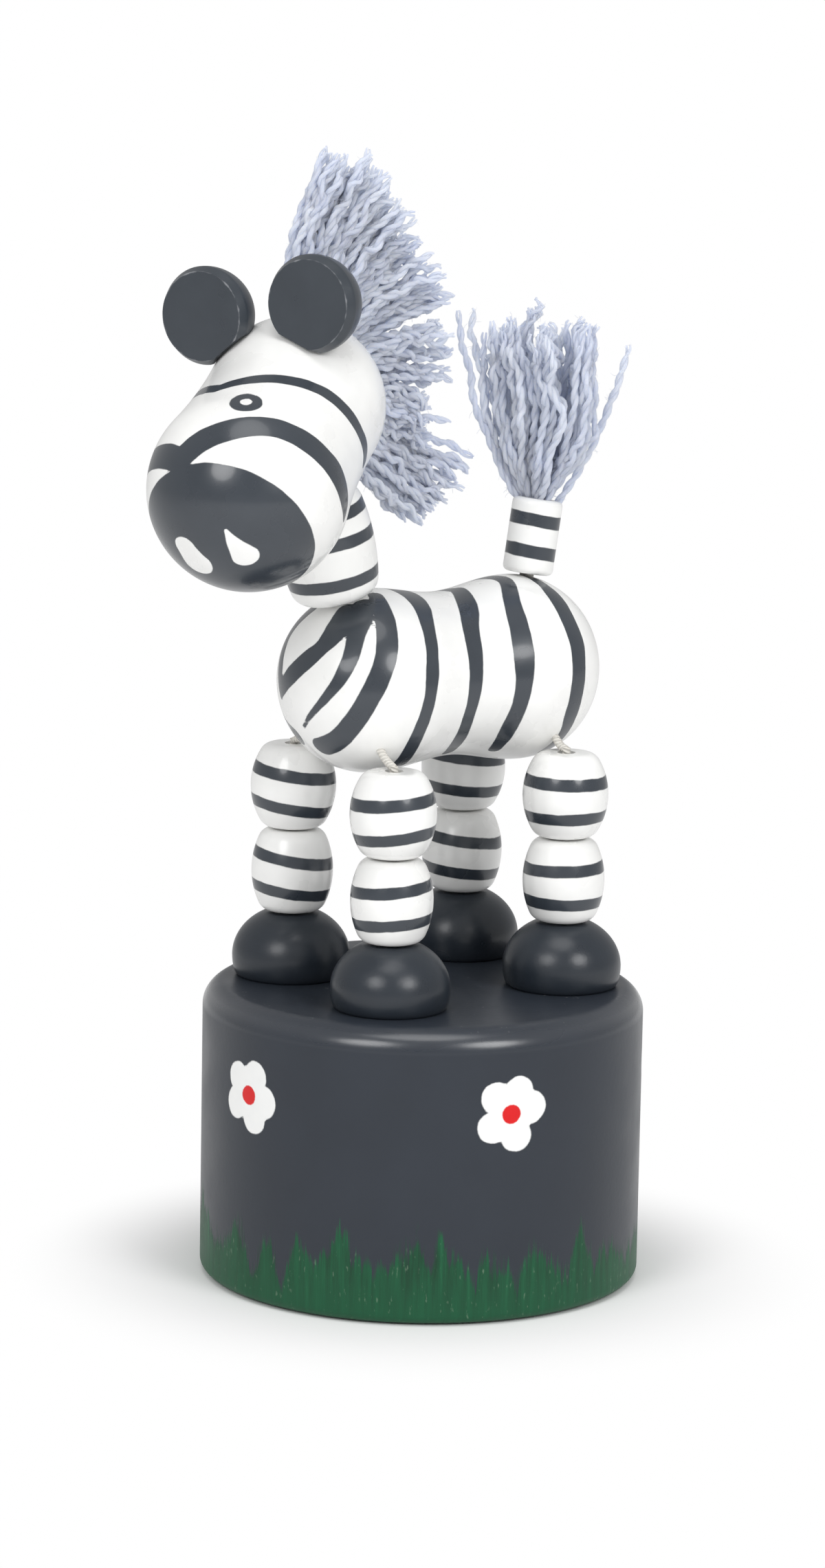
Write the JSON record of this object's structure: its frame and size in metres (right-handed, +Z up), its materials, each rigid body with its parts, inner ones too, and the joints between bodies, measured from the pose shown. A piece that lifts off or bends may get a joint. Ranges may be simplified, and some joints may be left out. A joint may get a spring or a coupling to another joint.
{
  "type": "push puppet",
  "caption": "Wooden zebra push puppet: strung beads on a painted drum, with a sprung button under it that slackens the strings so the figure sags.",
  "frame": {"origin": "centre of the drum's lower rim, on the surface that it stands on", "axes": "+Z up along the drum's axis; the zebra faces -Y and its left side is +X"},
  "size_m": [0.048, 0.0619, 0.1229],
  "materials": {
    "drum_paint": "satin slate paint on wood, with a brushed green band and painted flowers",
    "bare_wood": "bare turned wood",
    "string": "twisted off-white cord",
    "spring_wire": "bright drawn wire",
    "dark_paint": "satin slate paint on wood",
    "striped_paint": "satin white paint on turned wood with hand-painted dark stripes",
    "yarn": "two-ply pale blue-grey yarn, brushed out at the ends"
  },
  "bodies": {
    "base": {"base_drum": "drum_paint", "foot_front_left": "dark_paint", "foot_front_right": "dark_paint", "foot_rear_left": "dark_paint", "foot_rear_right": "dark_paint"},
    "button": {"push_button": "bare_wood", "string_knots": "string", "return_spring": "spring_wire", "string_front_left": "string", "string_front_right": "string", "string_rear_left": "string", "string_rear_right": "string"},
    "shin_front_left": {"shin_front_left": "striped_paint"},
    "thigh_front_left": {"thigh_front_left": "striped_paint"},
    "shin_front_right": {"shin_front_right": "striped_paint"},
    "thigh_front_right": {"thigh_front_right": "striped_paint"},
    "shin_rear_left": {"shin_rear_left": "striped_paint"},
    "thigh_rear_left": {"thigh_rear_left": "striped_paint"},
    "shin_rear_right": {"shin_rear_right": "striped_paint"},
    "thigh_rear_right": {"thigh_rear_right": "striped_paint"},
    "torso": {"torso": "striped_paint"},
    "neck": {"neck_bead": "striped_paint"},
    "head": {"head": "striped_paint", "head_peg": "bare_wood", "ear_left": "dark_paint", "ear_right": "dark_paint", "mane_tuft": "yarn"},
    "tail": {"tail_bead": "striped_paint", "tail_tuft": "yarn"}
  },
  "joints": [
    {"name": "ankle_front_left", "type": "hinge", "parent": "base", "child": "shin_front_left", "pos_m": [0.0086, -0.0133, 0.0389], "axis": [1, 0, 0], "range_deg": [0, 40]},
    {"name": "ankle_front_right", "type": "hinge", "parent": "base", "child": "shin_front_right", "pos_m": [-0.0106, -0.0133, 0.0389], "axis": [1, 0, 0], "range_deg": [0, 40]},
    {"name": "ankle_rear_left", "type": "hinge", "parent": "base", "child": "shin_rear_left", "pos_m": [0.0086, 0.0093, 0.0389], "axis": [1, 0, 0], "range_deg": [0, 40]},
    {"name": "ankle_rear_right", "type": "hinge", "parent": "base", "child": "shin_rear_right", "pos_m": [-0.0106, 0.0093, 0.0389], "axis": [1, 0, 0], "range_deg": [0, 40]},
    {"name": "knee_front_left", "type": "hinge", "parent": "shin_front_left", "child": "thigh_front_left", "pos_m": [0.0086, -0.0133, 0.0483], "axis": [1, 0, 0], "range_deg": [0, 20]},
    {"name": "knee_front_right", "type": "hinge", "parent": "shin_front_right", "child": "thigh_front_right", "pos_m": [-0.0106, -0.0133, 0.0483], "axis": [1, 0, 0], "range_deg": [0, 20]},
    {"name": "knee_rear_left", "type": "hinge", "parent": "shin_rear_left", "child": "thigh_rear_left", "pos_m": [0.0086, 0.0093, 0.0483], "axis": [1, 0, 0], "range_deg": [0, 20]},
    {"name": "knee_rear_right", "type": "hinge", "parent": "shin_rear_right", "child": "thigh_rear_right", "pos_m": [-0.0106, 0.0093, 0.0483], "axis": [1, 0, 0], "range_deg": [0, 20]},
    {"name": "hip_front_left", "type": "hinge", "parent": "thigh_front_left", "child": "torso", "pos_m": [0.0086, -0.0093, 0.0577], "axis": [1, 0, 0], "range_deg": [-60, 0]},
    {"name": "neck_droop", "type": "hinge", "parent": "torso", "child": "neck", "pos_m": [-0.001, -0.0143, 0.07423], "axis": [1, 0, 0], "range_deg": [0, 18]},
    {"name": "head_nod", "type": "hinge", "parent": "neck", "child": "head", "pos_m": [-0.001, -0.0174, 0.08582], "axis": [1, 0, 0], "range_deg": [0, 6]},
    {"name": "tail_droop", "type": "hinge", "parent": "torso", "child": "tail", "pos_m": [-0.001, 0.01577, 0.07549], "axis": [1, 0, 0], "range_deg": [-35, 0]},
    {"name": "button_press", "type": "slide", "parent": "base", "child": "button", "axis": [0, 0, 1], "range_m": [0, 0.006], "stiffness_N_per_m": 80, "springref_m": -0.008, "deforming": ["return_spring", "string_front_left", "string_front_right", "string_rear_left", "string_rear_right"]}
  ],
  "couplings": [
    {"joint": "ankle_front_left", "follows": "button_press", "rad_per_m": 116.35},
    {"joint": "ankle_front_right", "follows": "button_press", "rad_per_m": 116.35},
    {"joint": "ankle_rear_left", "follows": "button_press", "rad_per_m": 116.35},
    {"joint": "ankle_rear_right", "follows": "button_press", "rad_per_m": 116.35},
    {"joint": "knee_front_left", "follows": "button_press", "rad_per_m": 58.17},
    {"joint": "knee_front_right", "follows": "button_press", "rad_per_m": 58.17},
    {"joint": "knee_rear_left", "follows": "button_press", "rad_per_m": 58.17},
    {"joint": "knee_rear_right", "follows": "button_press", "rad_per_m": 58.17},
    {"joint": "hip_front_left", "follows": "button_press", "rad_per_m": -174.53},
    {"joint": "neck_droop", "follows": "button_press", "rad_per_m": 52.35},
    {"joint": "head_nod", "follows": "button_press", "rad_per_m": 17.45},
    {"joint": "tail_droop", "follows": "button_press", "rad_per_m": -101.81}
  ]
}
